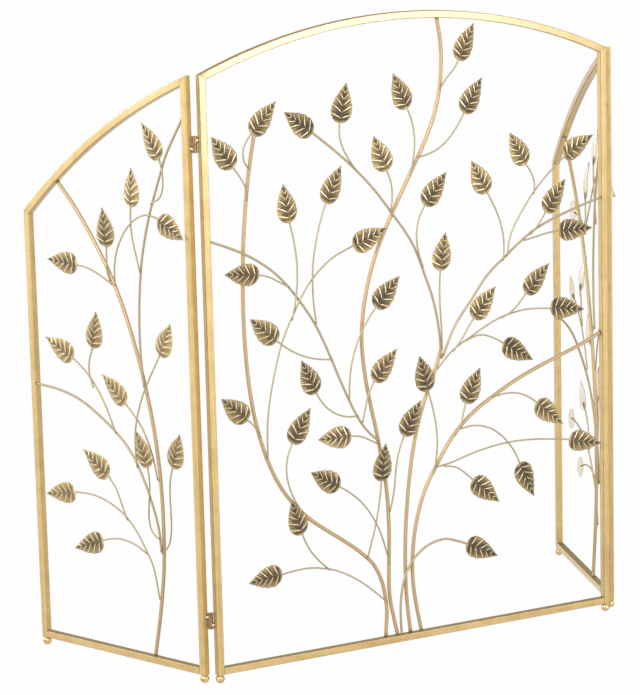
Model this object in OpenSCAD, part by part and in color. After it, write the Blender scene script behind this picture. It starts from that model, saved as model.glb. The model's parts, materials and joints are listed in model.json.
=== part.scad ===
// Folding fireplace screen: a centre panel and two hinged wings, each a frame of
// square tube with an arched top, filled with bent rod vines and pressed leaves.
// Millimetres. +Z is up, the front faces -Y, and the feet stand on Z = 0.

/* [Panels] */
// Width of the centre panel over its posts
centre_w = 610; // [608:1:630]
// Width of each wing over its posts
wing_w = 303; // [290:1:303]
// Height of the tall posts, from the underside of the frame to the outer corner
post_h = 770; // [755:1:800]
// Rise of the centre arch above its posts
arch_rise = 63.5; // [56:0.5:75]
// Height of the short outer post of a wing
wing_post_h = 582; // [576:1:600]
// Outer radius of a wing's arched rail
wing_arch_r = 865; // [830:5:1000]
// Angle that each wing is folded back from flat
fold = 70; // [0:1:173]

/* [Tube] */
// Side of the square tube
tube = 9.5; // [9:0.1:10]
// Wall of the tube
tube_wall = 1.2; // [0.8:0.1:1.6]
// Outer radius of the tube's rounded corners
tube_corner = 1; // [0.8:0.1:1.2]

/* [Feet] */
// Diameter of a ball foot
foot_d = 11.8; // [11.2:0.1:11.9]
// Height of a ball foot between its two flats
foot_h = 11; // [10.5:0.1:11.1]
// Length of the plug that holds a foot in its post
plug_len = 8; // [5:0.5:12]
// Clearance round the plug
plug_clearance = 0.1; // [0.05:0.05:0.3]

/* [Hinges] */
// Gap between neighbouring posts when the screen is flat
hinge_gap = 7; // [6.9:0.1:8]
// Distance of the hinge axis behind the back of the frame
hinge_proud = 0.85; // [0.8:0.05:1.2]
// Clearance of a knuckle from the posts
knuckle_clearance = 0.1; // [0.1:0.05:0.3]
// Height of one knuckle
knuckle_h = 10.4; // [8:0.1:14]
// Running gap between the two knuckles of a hinge
knuckle_gap = 0.3; // [0.2:0.05:0.5]
// Diameter of a hinge pin
pin_d = 3.2; // [2.5:0.1:4]
// Radial clearance of the pin
pin_clearance = 0.05; // [0.03:0.01:0.09]
// Height of the weld lug that joins a knuckle to its post
lug_h = 5; // [3:0.1:7]
// Depth of the weld lug, forwards from the hinge axis
lug_depth = 5.4; // [4.5:0.1:5.6]
// Height of the lower hinge above the floor
lower_hinge_z = 82.5; // [70:1:110]
// Height of the upper hinge above the floor
upper_hinge_z = 695; // [660:1:710]

/* [Rods] */
// Diameter of the main stems
stem_d = 5; // [4.6:0.1:5.4]
// Diameter of the branches
branch_d = 3.2; // [3:0.1:3.4]
// Diameter of the twigs
twig_d = 2.2; // [1.8:0.1:2.4]
// Distance of the main stems behind the middle of the tube
stem_back = 1.2; // [0.8:0.1:1.6]
// Gap at a weld between two rods, or between a rod and a leaf
weld_gap = 0.1; // [0.05:0.05:0.2]

/* [Leaves] */
// Length of a leaf
leaf_len = 51; // [48:1:54]
// Width of a leaf
leaf_w = 29; // [28:1:33]
// Thickness of a leaf at its midrib
leaf_t = 1.2; // [0.8:0.1:1.6]
// How far the tip of a leaf curls forwards
leaf_curl = 6; // [2:0.5:8]
// How far the edges of a leaf fall back from its midrib
leaf_fall = 0.4; // [0.2:0.1:0.8]
// Height of the pleats between the side veins
pleat = 0.7; // [0.4:0.1:0.9]
// Depth of the teeth along the edge
tooth = 0.9; // [0.5:0.1:1.5]
// Length of twig that lies behind a leaf
leaf_seat = 8; // [5:0.5:12]

/* [Hidden] */

// Finishes
frame_gold = [0.85, 0.70, 0.42];
rod_gold = [0.70, 0.58, 0.36];
leaf_gold = [0.56, 0.47, 0.27];
bright_gold = [0.90, 0.72, 0.38];

// Levels and places of the frame
rail_top = foot_h + tube;
spring_z = foot_h + post_h;
wing_spring_z = foot_h + wing_post_h;
opening_w = centre_w - 2 * tube;
wing_opening_w = wing_w - 2 * tube;
hinge_back = tube / 2 + hinge_proud;
hinge_x = centre_w / 2 + hinge_gap / 2;
wing_near = hinge_gap / 2;
wing_far = hinge_gap / 2 + wing_w;
knuckle_d = hinge_gap - 2 * knuckle_clearance;

// The vines are drawn in an opening of this size and stretch with the real one
drawn_opening_w = 591;
drawn_wing_opening_w = 284;
drawn_post_h = 770;
across = opening_w / drawn_opening_w;
wing_across = wing_opening_w / drawn_wing_opening_w;
upward = post_h / drawn_post_h;

// Depth of a rod of diameter d that lies on the front of a rod at depth y
function in_front(y, host_d, d) = y - (host_d + d) / 2 - weld_gap;

// Depths of the rod layers, from the back to the front
stem_y = stem_back;
branch_y = in_front(stem_y, stem_d, branch_d);
vine_y = in_front(stem_y, stem_d, twig_d);
on_vine_y = in_front(vine_y, twig_d, twig_d);
twig_y = in_front(branch_y, branch_d, twig_d);
over_y = in_front(twig_y, twig_d, twig_d);
leaf_y = twig_y - twig_d / 2 - weld_gap;

// The whole screen is centred front to back between the leaf tips and the wings' outer posts
front_y = leaf_y - leaf_curl - leaf_t / 2;
back_y = hinge_back + max(
    wing_far * sin(fold) - hinge_proud * cos(fold),
    (wing_far - tube / 2) * sin(fold) - hinge_back * cos(fold) + foot_d / 2
);
middle_y = (front_y + back_y) / 2;

function unit(v) = v / norm(v);
function heading(a) = [cos(a), sin(a)];
function radius_of_rise(w, rise) = (w * w / 4 + rise * rise) / (2 * rise);
function last(list) = list[len(list) - 1];

// An arched rail is [start corner, end corner, outer radius]; its centre lies below
centre_arch = [[-centre_w / 2, spring_z], [centre_w / 2, spring_z], radius_of_rise(centre_w, arch_rise)];
wing_arch = [[wing_near, spring_z], [wing_far, wing_spring_z], wing_arch_r];
function arch_centre(arch) =
    let (a = arch[0], b = arch[1], r = arch[2], along = unit(b - a), half = norm(b - a) / 2)
    (a + b) / 2 + [along[1], -along[0]] * sqrt(r * r - half * half);
function under_arch(arch, x) =
    let (c = arch_centre(arch), r = arch[2] - tube)
    c[1] + sqrt(r * r - pow(x - c[0], 2));

// Sampled smooth path through hand-set points; step is the spacing of its rings
function slope_at(p, i) =
    i == 0 ? unit(p[1] - p[0])
    : i == len(p) - 1 ? unit(p[i] - p[i - 1])
    : unit(unit(p[i] - p[i - 1]) * norm(p[i + 1] - p[i]) + unit(p[i + 1] - p[i]) * norm(p[i] - p[i - 1]));
function hermite(a, u, b, v, s) =
    a * (2 * s * s * s - 3 * s * s + 1) + u * (s * s * s - 2 * s * s + s)
    + b * (3 * s * s - 2 * s * s * s) + v * (s * s * s - s * s);
function smooth_path(p, step) = [
    for (i = [0 : len(p) - 2])
        let (gap = norm(p[i + 1] - p[i]), n = max(1, round(gap / step)))
            for (k = [0 : n - 1])
                hermite(p[i], slope_at(p, i) * gap, p[i + 1], slope_at(p, i + 1) * gap, k / n),
    last(p)
];

// Round rod swept along a path; a cut is [normal, offset] of the face that it is welded to
module rod(path, d, sides, start_cut = undef, end_cut = undef) {
    n = len(path);
    function along(i) = unit(path[min(i + 1, n - 1)] - path[max(i - 1, 0)]);
    function cut_of(i) = i == 0 ? start_cut : i == n - 1 ? end_cut : undef;
    function slide(q, t, cut) = is_undef(cut) ? q : q + t * ((cut[1] - q * cut[0]) / (t * cut[0]));
    points = [
        for (i = [0 : n - 1])
            let (t = along(i), side = unit(cross(t, [0, 1, 0])), up = cross(side, t))
                for (k = [0 : sides - 1])
                    let (a = (k + 0.5) * 360 / sides)
                        slide(path[i] + d / 2 * (side * cos(a) + up * sin(a)), t, cut_of(i))
    ];
    walls = [
        for (i = [0 : n - 2], k = [0 : sides - 1])
            let (a = i * sides + k, b = i * sides + (k + 1) % sides)
                for (f = [[a, b, a + sides], [b, b + sides, a + sides]]) f
    ];
    caps = [
        [for (k = [sides - 1 : -1 : 0]) k],
        [for (k = [0 : sides - 1]) (n - 1) * sides + k]
    ];
    polyhedron(points, concat(walls, caps), convexity = 10);
}

// Vine coordinates [x, height above the bottom rail, depth] to places on a panel
function on_centre(p) = [p[0] * across, p[2], rail_top + p[1] * upward];
function on_wing(p) = [wing_near + tube + p[0] * wing_across, p[2], rail_top + p[1] * upward];
function all_on_centre(list) = [for (p = list) on_centre(p)];
function all_on_wing(list) = [for (p = list) on_wing(p)];
// The same path with its last point raised to the underside of the arch
function up_to_arch(path, arch) =
    let (e = last(path))
    [for (i = [0 : len(path) - 1]) i < len(path) - 1 ? path[i] : [e[0], e[1], under_arch(arch, e[0])]];

// Faces that rods are welded to
rail_face = [[0, 0, 1], rail_top];
left_post_face = [[1, 0, 0], -opening_w / 2];
right_post_face = [[1, 0, 0], opening_w / 2];
hinge_post_face = [[1, 0, 0], wing_near + tube];
outer_post_face = [[1, 0, 0], wing_far - tube];
function arch_face(arch, path) =
    let (c = arch_centre(arch), e = last(path), n = unit([e[0] - c[0], 0, e[2] - c[1]]))
    [n, n * e];

// Sides and ring spacing of the rods
stem_sides = 8;
thin_sides = 6;
stem_step = 34;
branch_step = 28;
vine_step = 22;
twig_step = 17;

// Main stems of the centre panel, from the bottom rail upwards
left_stem = [
    [-52, 0, stem_y], [-51, 50, stem_y], [-66, 97, stem_y], [-106, 135, stem_y], [-161, 175, stem_y],
    [-201, 220, stem_y], [-228, 280, stem_y], [-242, 340, stem_y], [-249, 410, stem_y],
    [-250, 480, stem_y], [-246, 560, stem_y], [-239, 620, stem_y], [-235, 650, stem_y - 2],
    [-230, 684, leaf_y + weld_gap + stem_d / 2]
];
tall_stem = [
    [-34, 0, stem_y], [-45, 55, stem_y], [-44, 130, stem_y], [-46, 195, stem_y], [-60, 280, stem_y],
    [-75, 355, stem_y], [-79, 405, stem_y], [-72, 460, stem_y], [-55, 514, stem_y], [-31, 562, stem_y],
    [1, 618, stem_y], [24, 659, stem_y], [41, 702, stem_y], [48, 745, stem_y], [48, 780, stem_y],
    [43, 814, stem_y]
];
forked_stem = [
    [-14, 0, stem_y], [-19, 50, stem_y], [-20, 100, stem_y], [-16, 170, stem_y], [-9, 225, stem_y],
    [3, 280, stem_y], [18, 322, stem_y], [33, 355, stem_y], [41, 378, stem_y]
];
right_stem = [
    [3, 0, stem_y], [-4, 35, stem_y], [-9, 75, stem_y], [-8, 110, stem_y], [-1, 152, stem_y],
    [13, 192, stem_y], [31, 222, stem_y], [58, 259, stem_y], [87, 285, stem_y], [123, 306, stem_y],
    [165, 326, stem_y], [215, 344, stem_y], [260, 359, stem_y], [295.5, 373, stem_y]
];

// Branches of the centre panel, from their roots outwards
low_branch = [
    [-30, 0, branch_y], [-31, 30, branch_y], [-21, 83, branch_y], [-1, 108, branch_y],
    [36, 121, branch_y], [81, 106, twig_y + 0.5]
];
top_left_branch = [
    [39, 368, branch_y], [36, 405, branch_y], [28, 445, branch_y], [15, 482, branch_y],
    [-1, 521, branch_y], [-31, 564, branch_y], [-62, 603, branch_y], [-103, 643, branch_y],
    [-155, 684, twig_y + 0.5]
];
upper_right_branch = [
    [41.5, 369, branch_y], [59, 405, branch_y], [86, 439, branch_y], [113, 471, branch_y],
    [140, 492, branch_y], [187, 524, branch_y], [240, 544, branch_y], [295.5, 559, branch_y]
];
left_post_branch = [
    [-60, 268, branch_y], [-79, 287, branch_y], [-103, 329, branch_y], [-126, 382, branch_y],
    [-149, 431, branch_y], [-173, 467, branch_y], [-205, 503, branch_y], [-246, 531, branch_y],
    [-295.5, 552, branch_y]
];

// Thin vines of the centre panel, each ending behind a leaf or a twig's root
mid_right_vine = [
    [33, 353, vine_y], [57, 375, vine_y], [85, 390, vine_y], [135, 412, vine_y],
    [175, 418, vine_y], [218, 415, twig_y]
];
inner_left_vine = [
    [-223, 266, vine_y], [-222, 310, vine_y], [-209, 378, vine_y], [-196, 418, vine_y],
    [-182, 449, twig_y], [-154, 491, twig_y], [-123, 516, twig_y], [-86, 531, twig_y]
];
low_left_vine = [
    [-51, 48, vine_y], [-88, 80, vine_y], [-128, 103, vine_y], [-168, 112, vine_y], [-216, 110, twig_y]
];
high_right_vine = [
    [142, 494, twig_y], [148, 521, twig_y], [164, 548, twig_y], [184, 574, twig_y],
    [205, 595, twig_y], [240, 623, twig_y]
];
low_right_vine = [
    [31, 221, vine_y], [52, 224, vine_y], [80, 231, vine_y], [120, 238, vine_y], [160, 240, vine_y],
    [200, 237, vine_y], [246, 231, twig_y]
];

// A twig is [root x, root height, root turn, leaf x, leaf height, leaf turn, root depth, crossing depth]
// A turn is the angle from +X in which the twig or leaf points
left_twigs = [
    [-242, 600, 95, -262, 643, 127, vine_y, twig_y],
    [-239.5, 640, 140, -241, 676, 50, vine_y, twig_y],
    [-232, 295, 130, -252, 320, 140, vine_y, twig_y],
    [-178, 192, 125, -189, 281, 60, vine_y, twig_y],
    [-79, 113, 77, -58, 214, 85, vine_y, twig_y],
    [-185, 443, 75, -184, 567, 102, over_y, over_y],
    [-138, 106, 140, -178, 160, 110, on_vine_y, twig_y]
];
tall_twigs = [
    [-3, 612, 80, -8, 700, 116, vine_y, twig_y],
    [-35, 569, 80, -40, 622, 115, twig_y, twig_y],
    [45, 722, 75, 71, 757, 66, vine_y, twig_y],
    [11, 635, 10, 78, 688, 60, vine_y, twig_y],
    [-44, 170, 75, -22, 270, 62, vine_y, twig_y],
    [-57, 262, 155, -102, 280, 178, vine_y, twig_y],
    [-46, 100, 108, -121, 215, 150, vine_y, over_y]
];
post_branch_twigs = [
    [-149, 433, 100, -131, 587, 66, twig_y, over_y],
    [-188, 485, 155, -230, 504, 173, twig_y, twig_y],
    [-127, 384, 175, -207, 417, 140, twig_y, twig_y],
    [-91, 305, 182, -152, 343, 117, twig_y, twig_y],
    [-103, 330, 90, -61, 445, 49, twig_y, twig_y],
    [-84, 296, 75, -65, 348, 52, twig_y, twig_y]
];
fork_twigs = [
    [-88, 629, 125, -108, 688, 80, twig_y, twig_y],
    [12, 491, 112, 16, 572, 54, twig_y, twig_y],
    [39, 380, 90, 38, 484, 84, twig_y, twig_y],
    [136, 489, 82, 112, 581, 121, twig_y, twig_y],
    [180, 519, 42, 204, 547, 56, twig_y, twig_y],
    [170, 512, 8, 224, 520, 0, twig_y, twig_y],
    [184, 574, 75, 173, 614, 122, over_y, over_y]
];
right_twigs = [
    [57, 375, 45, 88, 415, 51, on_vine_y, twig_y],
    [133, 411, 20, 171, 440, 49, on_vine_y, twig_y],
    [78, 387, 30, 134, 377, -32, on_vine_y, twig_y],
    [25, 214, 80, 16, 326, 107, vine_y, twig_y],
    [59, 260, 55, 74, 302, 67, vine_y, twig_y],
    [120, 305, 15, 186, 290, -41, vine_y, twig_y],
    [68, 268, 15, 158, 210, -68, vine_y, twig_y],
    [40, 221, 0, 83, 197, -42, on_vine_y, twig_y]
];
// A leaf at the end of a stem, branch or vine is [leaf x, leaf height, leaf turn]
left_end_leaves = [[-234, 682, 51], [-92, 527, 24], [-209, 112, 185]];
tall_end_leaves = [];
post_branch_end_leaves = [];
fork_end_leaves = [[-148, 678, 145], [233, 620, 30]];
right_end_leaves = [[210, 418, -9], [72, 111, -27], [238, 232, -12]];

// Rods of a wing; x runs outwards from the hinge post's inner face
wing_stem = [
    [84, 0, stem_y], [72, 58, stem_y], [63, 120, stem_y], [61, 185, stem_y], [66, 265, stem_y],
    [80, 340, stem_y], [101, 410, stem_y], [133, 485, stem_y], [180, 556, stem_y], [232, 617, stem_y]
];
wing_inner_branch = [
    [83, 359, branch_y], [87, 405, branch_y], [87, 445, branch_y], [84, 485, branch_y],
    [78, 525, branch_y], [62, 582, branch_y], [46, 622, branch_y], [29, 660, branch_y],
    [0, 705, branch_y]
];
wing_outer_branch = [
    [62, 143, branch_y], [66, 175, branch_y], [77, 208, branch_y], [92, 240, branch_y],
    [112, 270, branch_y], [137, 292, branch_y], [169, 312, branch_y], [202, 328, branch_y],
    [238, 337, branch_y], [284, 341, branch_y]
];
wing_low_vine = [
    [69, 79, vine_y], [73, 100, vine_y], [79, 122, vine_y], [91, 142, vine_y], [106, 163, vine_y],
    [121, 178, vine_y], [139, 189, vine_y], [159, 197, vine_y], [184, 202, vine_y], [223, 202, twig_y]
];
wing_twigs = [
    [56, 597, 180, 39, 654, 62, twig_y, twig_y],
    [80, 508, 75, 92, 591, 99, twig_y, twig_y],
    [138, 491, 80, 139, 536, 89, vine_y, twig_y],
    [135, 487, 35, 194, 508, 5, vine_y, twig_y],
    [129, 487, 90, 44, 578, 206, vine_y, over_y],
    [98, 252, 84, 50, 403, 121, twig_y, over_y],
    [171, 349, 60, 172, 401, 106, over_y, over_y],
    [135, 292, 66, 209, 383, 29, twig_y, twig_y],
    [65, 238, 80, 115, 333, 44, vine_y, vine_y],
    [62, 160, 20, 79, 253, 74, twig_y, twig_y],
    [62, 141, 150, 34, 259, 113, vine_y, twig_y],
    [121, 178, 65, 152, 232, 38, on_vine_y, twig_y],
    [88, 138, 30, 166, 144, -19, on_vine_y, twig_y]
];
wing_upper_count = 8;
wing_end_leaves = [[215, 202, -8]];

// Smooth course of a twig from its root to the point where it slips behind its leaf
twig_pull = 1.15;
function twig_path(t, place) =
    let (
        a = place([t[0], t[1], 0]), b = place([t[3], t[4], 0]), reach = norm(b - a) * twig_pull,
        u = reach * [cos(t[2]), 0, sin(t[2])], v = reach * [cos(t[5]), 0, sin(t[5])],
        n = max(3, round(norm(b - a) / twig_step))
    )
    [
        for (i = [0 : n])
            let (s = i / n, out = min(1, s * 3), home = max(0, 1 - (1 - s) * 3))
                hermite(a, u, b, v, s) + [0, (1 - out) * t[6] + (out - home) * t[7] + home * twig_y, 0],
        b + [cos(t[5]) * leaf_seat, twig_y, sin(t[5]) * leaf_seat]
    ];

// Half width of the leaf outline at the fraction t of its length, as a share of the widest place
function leaf_outline(t) = 2.70 * pow(t, 0.5) * pow(1 - t, 1.1);
leaf_lines = 10;
vein_rise = 0.16;

// Pressed leaf: base at the origin, tip up, midrib raised, side veins as pleats that end in teeth
module leaf() {
    function mid_t(i) = pow(i / (leaf_lines + 1), 1.15);
    function edge_t(i) = mid_t(i) + vein_rise * sin(180 * mid_t(i));
    function is_vein(i) = i % 2 == 0;
    function bow(t) = -leaf_curl * t * t;
    function mid(i, y) = [0, bow(mid_t(i)) + y, leaf_len * mid_t(i)];
    function edge(i, side) =
        let (t = edge_t(i), half = leaf_w / 2 * leaf_outline(t) + (is_vein(i) ? tooth : -tooth) / 2)
        [side * half, bow(t) + leaf_fall + (is_vein(i) ? -pleat : pleat), leaf_len * t];
    base = [0, -leaf_t / 2, 0];
    tip = [0, bow(1) - leaf_t / 2, leaf_len];
    points = concat(
        [base, tip],
        [for (i = [1 : leaf_lines]) for (p = [mid(i, -leaf_t), mid(i, 0), edge(i, -1), edge(i, 1)]) p]
    );
    function front(i) = 4 * i - 2;
    function back(i) = 4 * i - 1;
    function left(i) = 4 * i;
    function right(i) = 4 * i + 1;
    n = leaf_lines;
    ends = [
        [0, front(1), left(1)], [0, right(1), front(1)], [0, left(1), back(1)], [0, back(1), right(1)],
        [1, left(n), front(n)], [1, front(n), right(n)], [1, back(n), left(n)], [1, right(n), back(n)]
    ];
    strips = [
        for (i = [1 : n - 1])
            for (f = [
                [front(i), front(i + 1), left(i)], [left(i), front(i + 1), left(i + 1)],
                [front(i), right(i), front(i + 1)], [right(i), right(i + 1), front(i + 1)],
                [back(i), left(i), back(i + 1)], [left(i), left(i + 1), back(i + 1)],
                [back(i), back(i + 1), right(i)], [right(i), back(i + 1), right(i + 1)]
            ]) f
    ];
    polyhedron(points, concat(ends, strips), convexity = 4);
}

module leaf_at(place, turn) {
    translate([place[0], leaf_y, place[2]]) rotate([0, 90 - turn, 0]) leaf();
}

module centre_twigs(twigs) {
    color(rod_gold) for (t = twigs) rod(twig_path(t, function (p) on_centre(p)), twig_d, thin_sides);
}

module centre_leaves(twigs, ends) {
    color(leaf_gold) {
        for (t = twigs) leaf_at(on_centre([t[3], t[4], 0]), t[5]);
        for (e = ends) leaf_at(on_centre([e[0], e[1], 0]), e[2]);
    }
}

// Section of the square tube: corners rounded in three flats each, and its bore
module tube_section() {
    flat = tube - 2 * tube_corner;
    difference() {
        union() {
            square([tube, flat], center = true);
            square([flat, tube], center = true);
            for (x = [-1, 1], y = [-1, 1])
                translate([x * flat / 2, y * flat / 2]) circle(tube_corner, $fn = 12);
        }
        square(tube - 2 * tube_wall, center = true);
    }
}

// Slab in the plane of a panel that keeps what lies inside an outline of [x, z] points
module slab(outline) {
    rotate([90, 0, 0]) translate([0, 0, -tube]) linear_extrude(2 * tube) polygon(outline);
}

// Post between x0 and x1, mitred at the top to the arch between its corners top0 and top1
module post(x0, x1, top0, top1) {
    function top_at(x) = top0 + (top1 - top0) * (x - x0) / (x1 - x0);
    a = x0 - tube / 2;
    b = x1 + tube / 2;
    intersection() {
        translate([(x0 + x1) / 2, 0, foot_h])
            linear_extrude(max(top0, top1) - foot_h) tube_section();
        slab([[a, foot_h - 1], [b, foot_h - 1], [b, top_at(b)], [a, top_at(a)]]);
    }
}

module bottom_rail(x0, x1) {
    translate([x0, 0, foot_h + tube / 2]) rotate([90, 0, 90])
        linear_extrude(x1 - x0) tube_section();
}

// Curved rail of square tube, cut at both ends by the mitres of its posts
module arched_rail(arch) {
    a = arch[0];
    b = arch[1];
    r = arch[2];
    c = arch_centre(arch);
    inner_a = [a[0] + tube, under_arch(arch, a[0] + tube)];
    inner_b = [b[0] - tube, under_arch(arch, b[0] - tube)];
    reach = 3 * tube;
    out_a = a + unit(a - inner_a) * reach;
    out_b = b + unit(b - inner_b) * reach;
    in_a = inner_a - unit(a - inner_a) * reach;
    in_b = inner_b - unit(b - inner_b) * reach;
    crown = c[1] + r + reach;
    intersection() {
        translate([c[0], 0, c[1]]) rotate([90, 0, 0])
            rotate_extrude($fn = 360) translate([r - tube / 2, 0]) tube_section();
        slab([in_a, out_a, [out_a[0], crown], [out_b[0], crown], out_b, in_b]);
    }
}

// Ball foot with a flat to stand on and a plug up into the post
module foot(x) {
    translate([x, 0, 0]) {
        intersection() {
            translate([0, 0, foot_h / 2]) sphere(d = foot_d, $fn = 64);
            translate([-foot_d, -foot_d, 0]) cube([2 * foot_d, 2 * foot_d, foot_h]);
        }
        translate([0, 0, foot_h - 1])
            cylinder(d = tube - 2 * tube_wall - 2 * plug_clearance, h = plug_len + 1, $fn = 48);
    }
}

// Knuckle round the hinge axis with its weld lug; side is -1 for the centre panel, 1 for a wing
module knuckle(z, side) {
    difference() {
        union() {
            translate([0, 0, z]) cylinder(d = knuckle_d, h = knuckle_h, $fn = 48);
            translate([side > 0 ? 0 : -hinge_gap / 2, 0, z + knuckle_h / 2]) {
                translate([0, lug_h / 2 - lug_depth, -lug_h / 2])
                    cube([hinge_gap / 2, lug_depth - lug_h / 2, lug_h]);
                translate([0, lug_h / 2 - lug_depth, 0]) rotate([0, 90, 0])
                    cylinder(d = lug_h, h = hinge_gap / 2, $fn = 48);
            }
        }
        translate([0, 0, z - 1])
            cylinder(d = pin_d + 2 * pin_clearance, h = knuckle_h + 2, $fn = 48);
    }
}

// The centre panel carries the top knuckle of the upper hinge and the bottom one of the lower
// hinge, and the wing the other two, so that a wing can't lift off
function knuckle_above(z) = z + knuckle_gap / 2;
function knuckle_below(z) = z - knuckle_gap / 2 - knuckle_h;
module centre_knuckles() {
    color(bright_gold) {
        knuckle(knuckle_above(upper_hinge_z), -1);
        knuckle(knuckle_below(lower_hinge_z), -1);
    }
}
module wing_knuckles() {
    color(bright_gold) {
        knuckle(knuckle_below(upper_hinge_z), 1);
        knuckle(knuckle_above(lower_hinge_z), 1);
    }
}
module pins() {
    color(bright_gold) for (z = [lower_hinge_z, upper_hinge_z])
        translate([0, 0, knuckle_below(z)])
            cylinder(d = pin_d, h = 2 * knuckle_h + knuckle_gap, $fn = 48);
}

// Places of the hinges and wings; the left side is the mirror image of the right
module centre_place() translate([0, -middle_y, 0]) children();
module hinge_place() translate([hinge_x, hinge_back - middle_y, 0]) children();
module wing_place() hinge_place() rotate([0, 0, fold]) translate([0, -hinge_back, 0]) children();
module wing_hinge_place() hinge_place() rotate([0, 0, fold]) children();
module left_side() mirror([1, 0, 0]) children();

// Wing pieces, drawn as the right wing when flat
module wing_hinge_post() color(frame_gold)
    post(wing_near, wing_near + tube, spring_z, under_arch(wing_arch, wing_near + tube));
module wing_outer_post() color(frame_gold)
    post(wing_far - tube, wing_far, under_arch(wing_arch, wing_far - tube), wing_spring_z);
module wing_arched_rail() color(frame_gold) arched_rail(wing_arch);
module wing_bottom_rail() color(frame_gold) bottom_rail(wing_near + tube, wing_far - tube);
module wing_feet() color(bright_gold) {
    foot(wing_near + tube / 2);
    foot(wing_far - tube / 2);
}
module wing_stem_rod() {
    path = up_to_arch(smooth_path(all_on_wing(wing_stem), stem_step), wing_arch);
    color(rod_gold) rod(path, stem_d, stem_sides, rail_face, arch_face(wing_arch, path));
}
module wing_inner_branch_rod() color(rod_gold)
    rod(smooth_path(all_on_wing(wing_inner_branch), branch_step), branch_d, thin_sides,
        undef, hinge_post_face);
module wing_outer_branch_rod() color(rod_gold)
    rod(smooth_path(all_on_wing(wing_outer_branch), branch_step), branch_d, thin_sides,
        undef, outer_post_face);
module wing_low_vine_rod() color(rod_gold)
    rod(smooth_path(all_on_wing(wing_low_vine), vine_step), twig_d, thin_sides);
module wing_twig_rods() color(rod_gold)
    for (t = wing_twigs) rod(twig_path(t, function (p) on_wing(p)), twig_d, thin_sides);
module wing_leaves(first, count, ends) color(leaf_gold) {
    for (i = [first : first + count - 1])
        leaf_at(on_wing([wing_twigs[i][3], wing_twigs[i][4], 0]), wing_twigs[i][5]);
    for (e = ends) leaf_at(on_wing([e[0], e[1], 0]), e[2]);
}
module wing_upper_leaves() wing_leaves(0, wing_upper_count, []);
module wing_lower_leaves()
    wing_leaves(wing_upper_count, len(wing_twigs) - wing_upper_count, wing_end_leaves);

// Centre frame
module centre_left_post() centre_place() color(frame_gold)
    post(-centre_w / 2, -centre_w / 2 + tube, spring_z, under_arch(centre_arch, -opening_w / 2));
module centre_right_post() centre_place() color(frame_gold)
    post(centre_w / 2 - tube, centre_w / 2, under_arch(centre_arch, opening_w / 2), spring_z);
module centre_arched_rail() centre_place() color(frame_gold) arched_rail(centre_arch);
module centre_bottom_rail() centre_place() color(frame_gold) bottom_rail(-opening_w / 2, opening_w / 2);
module centre_feet() centre_place() color(bright_gold)
    for (side = [-1, 1]) foot(side * (centre_w - tube) / 2);

// Centre rods
module centre_left_stem() centre_place() color(rod_gold)
    rod(smooth_path(all_on_centre(left_stem), stem_step), stem_d, stem_sides, rail_face);
module centre_tall_stem() centre_place() {
    path = up_to_arch(smooth_path(all_on_centre(tall_stem), stem_step), centre_arch);
    color(rod_gold) rod(path, stem_d, stem_sides, rail_face, arch_face(centre_arch, path));
}
module centre_forked_stem() centre_place() color(rod_gold)
    rod(smooth_path(all_on_centre(forked_stem), stem_step), stem_d, stem_sides, rail_face);
module centre_right_stem() centre_place() color(rod_gold)
    rod(smooth_path(all_on_centre(right_stem), stem_step), stem_d, stem_sides,
        rail_face, right_post_face);
module centre_low_branch() centre_place() color(rod_gold)
    rod(smooth_path(all_on_centre(low_branch), branch_step), branch_d, thin_sides, rail_face);
module centre_top_left_branch() centre_place() color(rod_gold)
    rod(smooth_path(all_on_centre(top_left_branch), branch_step), branch_d, thin_sides);
module centre_upper_right_branch() centre_place() color(rod_gold)
    rod(smooth_path(all_on_centre(upper_right_branch), branch_step), branch_d, thin_sides,
        undef, right_post_face);
module centre_left_post_branch() centre_place() color(rod_gold)
    rod(smooth_path(all_on_centre(left_post_branch), branch_step), branch_d, thin_sides,
        undef, left_post_face);
module centre_vine(points) centre_place() color(rod_gold)
    rod(smooth_path(all_on_centre(points), vine_step), twig_d, thin_sides);
module centre_mid_right_vine() centre_vine(mid_right_vine);
module centre_inner_left_vine() centre_vine(inner_left_vine);
module centre_low_left_vine() centre_vine(low_left_vine);
module centre_high_right_vine() centre_vine(high_right_vine);
module centre_low_right_vine() centre_vine(low_right_vine);

centre_left_post();
centre_right_post();
centre_arched_rail();
centre_bottom_rail();
centre_feet();
centre_left_stem();
centre_tall_stem();
centre_forked_stem();
centre_right_stem();
centre_low_branch();
centre_top_left_branch();
centre_upper_right_branch();
centre_left_post_branch();
centre_mid_right_vine();
centre_inner_left_vine();
centre_low_left_vine();
centre_high_right_vine();
centre_low_right_vine();
centre_place() centre_twigs(left_twigs);  // centre_left_twigs
centre_place() centre_twigs(tall_twigs);  // centre_tall_twigs
centre_place() centre_twigs(post_branch_twigs);  // centre_post_branch_twigs
centre_place() centre_twigs(fork_twigs);  // centre_fork_twigs
centre_place() centre_twigs(right_twigs);  // centre_right_twigs
centre_place() centre_leaves([for (i = [0, 2, 3, 4, 5, 6]) left_twigs[i]], left_end_leaves);  // centre_left_leaves
centre_place() centre_leaves(tall_twigs, tall_end_leaves);  // centre_tall_leaves
centre_place() centre_leaves(post_branch_twigs, post_branch_end_leaves);  // centre_post_branch_leaves
centre_place() centre_leaves(fork_twigs, fork_end_leaves);  // centre_fork_leaves
centre_place() centre_leaves(right_twigs, right_end_leaves);  // centre_right_leaves
left_side() wing_place() wing_hinge_post();  // left_wing_hinge_post
left_side() wing_place() wing_outer_post();  // left_wing_outer_post
left_side() wing_place() wing_arched_rail();  // left_wing_arched_rail
left_side() wing_place() wing_bottom_rail();  // left_wing_bottom_rail
left_side() wing_place() wing_feet();  // left_wing_feet
left_side() wing_place() wing_stem_rod();  // left_wing_stem
left_side() wing_place() wing_inner_branch_rod();  // left_wing_inner_branch
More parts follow.
